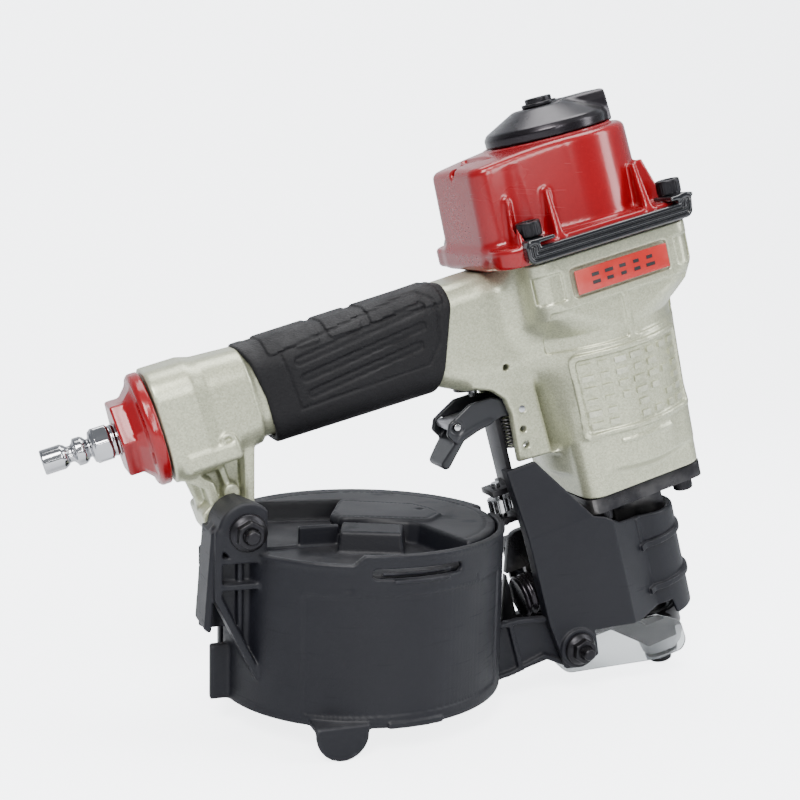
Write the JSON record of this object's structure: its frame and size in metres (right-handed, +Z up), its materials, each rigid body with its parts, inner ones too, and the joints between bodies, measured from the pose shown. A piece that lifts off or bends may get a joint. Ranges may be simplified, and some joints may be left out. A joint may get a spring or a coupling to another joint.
{
  "type": "pneumatic nail gun",
  "caption": "Pneumatic coil nailer with round magazine, rubber grip, sliding safety nose, sprung trigger, hinged nose door and turning exhaust cover.",
  "frame": {"origin": "middle of the footprint, on the surface the tool stands on", "axes": "+X from the air plug towards the nose, +Y to the tool's left side, +Z up with the tool standing on its magazine feet and nose tip; the driver axis leans 16.5 degrees from +Z towards -X"},
  "size_m": [0.2946, 0.12, 0.2626],
  "materials": {
    "cast_paint": "champagne metallic lacquer on cast alloy, fine flake, semi-gloss",
    "red_paint": "deep red gloss enamel on cast alloy",
    "label_red": "blank satin red name plate",
    "grip_rubber": "grained black rubber",
    "black_rubber": "smooth black rubber",
    "gloss_black": "glossy black moulded strip",
    "moulded_black": "charcoal black moulded nylon, fine texture, semi-matte",
    "black_steel": "black oxide, lightly oiled",
    "black_alloy": "black anodised",
    "trigger_black": "satin black paint on die-cast",
    "nose_steel": "bead-blasted tool steel",
    "tool_steel": "bright ground steel",
    "liner_alloy": "hard-anodised alloy",
    "plug_chrome": "polished nickel-chrome plate",
    "clear_plastic": "clear polycarbonate"
  },
  "bodies": {
    "tool": {"main_housing": "cast_paint", "grip_sleeve": "grip_rubber", "label_plate": "label_red", "cylinder_cap": "red_paint", "cap_gasket": "black_rubber", "cap_screw_1": "black_steel", "cap_screw_2": "black_steel", "cap_screw_3": "black_steel", "cap_screw_4": "black_steel", "side_guard_right": "gloss_black", "side_guard_left": "gloss_black", "exhaust_screw": "black_steel", "end_cap_seal": "black_rubber", "end_cap": "red_paint", "air_plug": "plug_chrome", "cylinder_liner": "liner_alloy", "bumper": "black_rubber", "trigger_pin": "tool_steel", "trigger_valve_body": "liner_alloy", "nose_body": "nose_steel", "nose_screw_1": "black_steel", "nose_screw_2": "black_steel", "nose_screw_3": "black_steel", "nose_screw_4": "black_steel", "nose_cover": "moulded_black", "clear_shield": "clear_plastic", "front_bolt": "black_steel", "feed_cylinder": "black_alloy", "door_hinge_pin": "tool_steel", "magazine_body": "moulded_black", "magazine_hinge_pin": "tool_steel", "support_post": "moulded_black", "rear_bolt": "black_steel"},
    "exhaust": {"exhaust_cover": "black_steel"},
    "piston": {"piston": "liner_alloy", "driver_blade": "tool_steel"},
    "head_valve": {"head_valve": "moulded_black", "head_valve_spring": "tool_steel"},
    "trigger": {"trigger": "trigger_black", "contact_lever_pin": "tool_steel"},
    "lever": {"contact_lever": "tool_steel"},
    "contact": {"contact_arm": "black_steel", "contact_nose": "nose_steel", "nose_tip": "black_rubber"},
    "dial": {"depth_dial": "tool_steel"},
    "stem": {"valve_stem": "tool_steel"},
    "magazine_cover": {"magazine_cover": "moulded_black"},
    "nail_support": {"nail_support": "moulded_black"},
    "nose_door": {"nose_door": "nose_steel", "latch_pin": "tool_steel"},
    "door_latch": {"door_latch": "black_steel"},
    "feed": {"feed_piston": "tool_steel", "feed_pawl": "tool_steel"}
  },
  "joints": [
    {"name": "exhaust_turn", "type": "hinge", "parent": "tool", "child": "exhaust", "pos_m": [0.06371, 0.005, 0.24738], "axis": [-0.284, 0, 0.9588], "continuous": true},
    {"name": "piston_stroke", "type": "slide", "parent": "tool", "child": "piston", "axis": [0.284, 0, -0.9588], "range_m": [0, 0.0695]},
    {"name": "head_valve_lift", "type": "slide", "parent": "tool", "child": "head_valve", "axis": [-0.284, 0, 0.9588], "range_m": [0, 0.005], "stiffness_N_per_m": 2000, "springref_m": -0.01},
    {"name": "trigger_pull", "type": "hinge", "parent": "tool", "child": "trigger", "pos_m": [0.05155, 0.005, 0.1254], "axis": [0, 1, 0], "range_deg": [0, 10], "stiffness_Nm_per_rad": 0.6, "springref_deg": -11.46},
    {"name": "contact_slide", "type": "slide", "parent": "tool", "child": "contact", "axis": [-0.284, 0, 0.9588], "range_m": [0, 0.007], "stiffness_N_per_m": 1500, "springref_m": -0.014},
    {"name": "lever_lift", "type": "hinge", "parent": "trigger", "child": "lever", "pos_m": [0.02363, 0.005, 0.11755], "axis": [0, -1, 0], "range_deg": [0, 22.5]},
    {"name": "depth_dial_turn", "type": "hinge", "parent": "contact", "child": "dial", "pos_m": [0.04762, 0.001, 0.08199], "axis": [-0.284, 0, 0.9588], "continuous": true},
    {"name": "stem_slide", "type": "slide", "parent": "tool", "child": "stem", "axis": [-0.284, 0, 0.9588], "range_m": [0, 0.0025], "stiffness_N_per_m": 1500, "springref_m": -0.003},
    {"name": "magazine_swing", "type": "hinge", "parent": "tool", "child": "magazine_cover", "pos_m": [-0.08201, -0.003, 0.0575], "axis": [0, 0, 1], "range_deg": [0, 95]},
    {"name": "support_lift", "type": "slide", "parent": "tool", "child": "nail_support", "axis": [0, 0, 1], "range_m": [0, 0.03]},
    {"name": "door_swing", "type": "hinge", "parent": "tool", "child": "nose_door", "pos_m": [0.12779, 0.016, 0.05568], "axis": [0.284, 0, -0.9588], "range_deg": [0, 95]},
    {"name": "latch_turn", "type": "hinge", "parent": "nose_door", "child": "door_latch", "pos_m": [0.07735, 0.0148, 0.05169], "axis": [0.284, 0, -0.9588], "range_deg": [0, 20], "stiffness_Nm_per_rad": 0.3, "springref_deg": -17.19},
    {"name": "feed_stroke", "type": "slide", "parent": "tool", "child": "feed", "axis": [-0.9588, 0, -0.284], "range_m": [0, 0.008], "stiffness_N_per_m": 800, "springref_m": -0.01}
  ],
  "couplings": [
    {"joint": "lever_lift", "follows": "contact_slide", "rad_per_m": 54.6}
  ]
}
